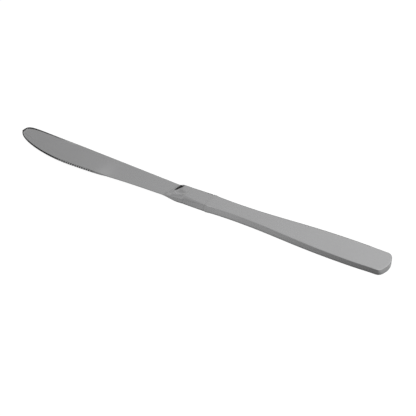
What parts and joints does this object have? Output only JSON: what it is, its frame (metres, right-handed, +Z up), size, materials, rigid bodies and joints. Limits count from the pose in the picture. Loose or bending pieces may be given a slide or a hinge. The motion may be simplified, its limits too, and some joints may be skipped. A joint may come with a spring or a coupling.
{
  "type": "table knife",
  "caption": "All-steel table knife: round-ended blade with fine teeth along its edge, short bolster collar, and flat bar handle that swells to a rounded butt.",
  "frame": {"origin": "middle of the knife's footprint, on the surface it lies on", "axes": "+X from the tip to the butt, +Y from the cutting edge to the spine, +Z up out of the flat side"},
  "size_m": [0.2302, 0.02, 0.0047],
  "materials": {
    "blade_steel": "satin, ground flat",
    "handle_steel": "satin, lightly polished",
    "weld_metal": "dressed flush, satin"
  },
  "bodies": {
    "root": {"blade": "blade_steel", "front_weld": "weld_metal", "bolster": "handle_steel", "rear_weld": "weld_metal", "handle": "handle_steel"}
  },
  "joints": []
}
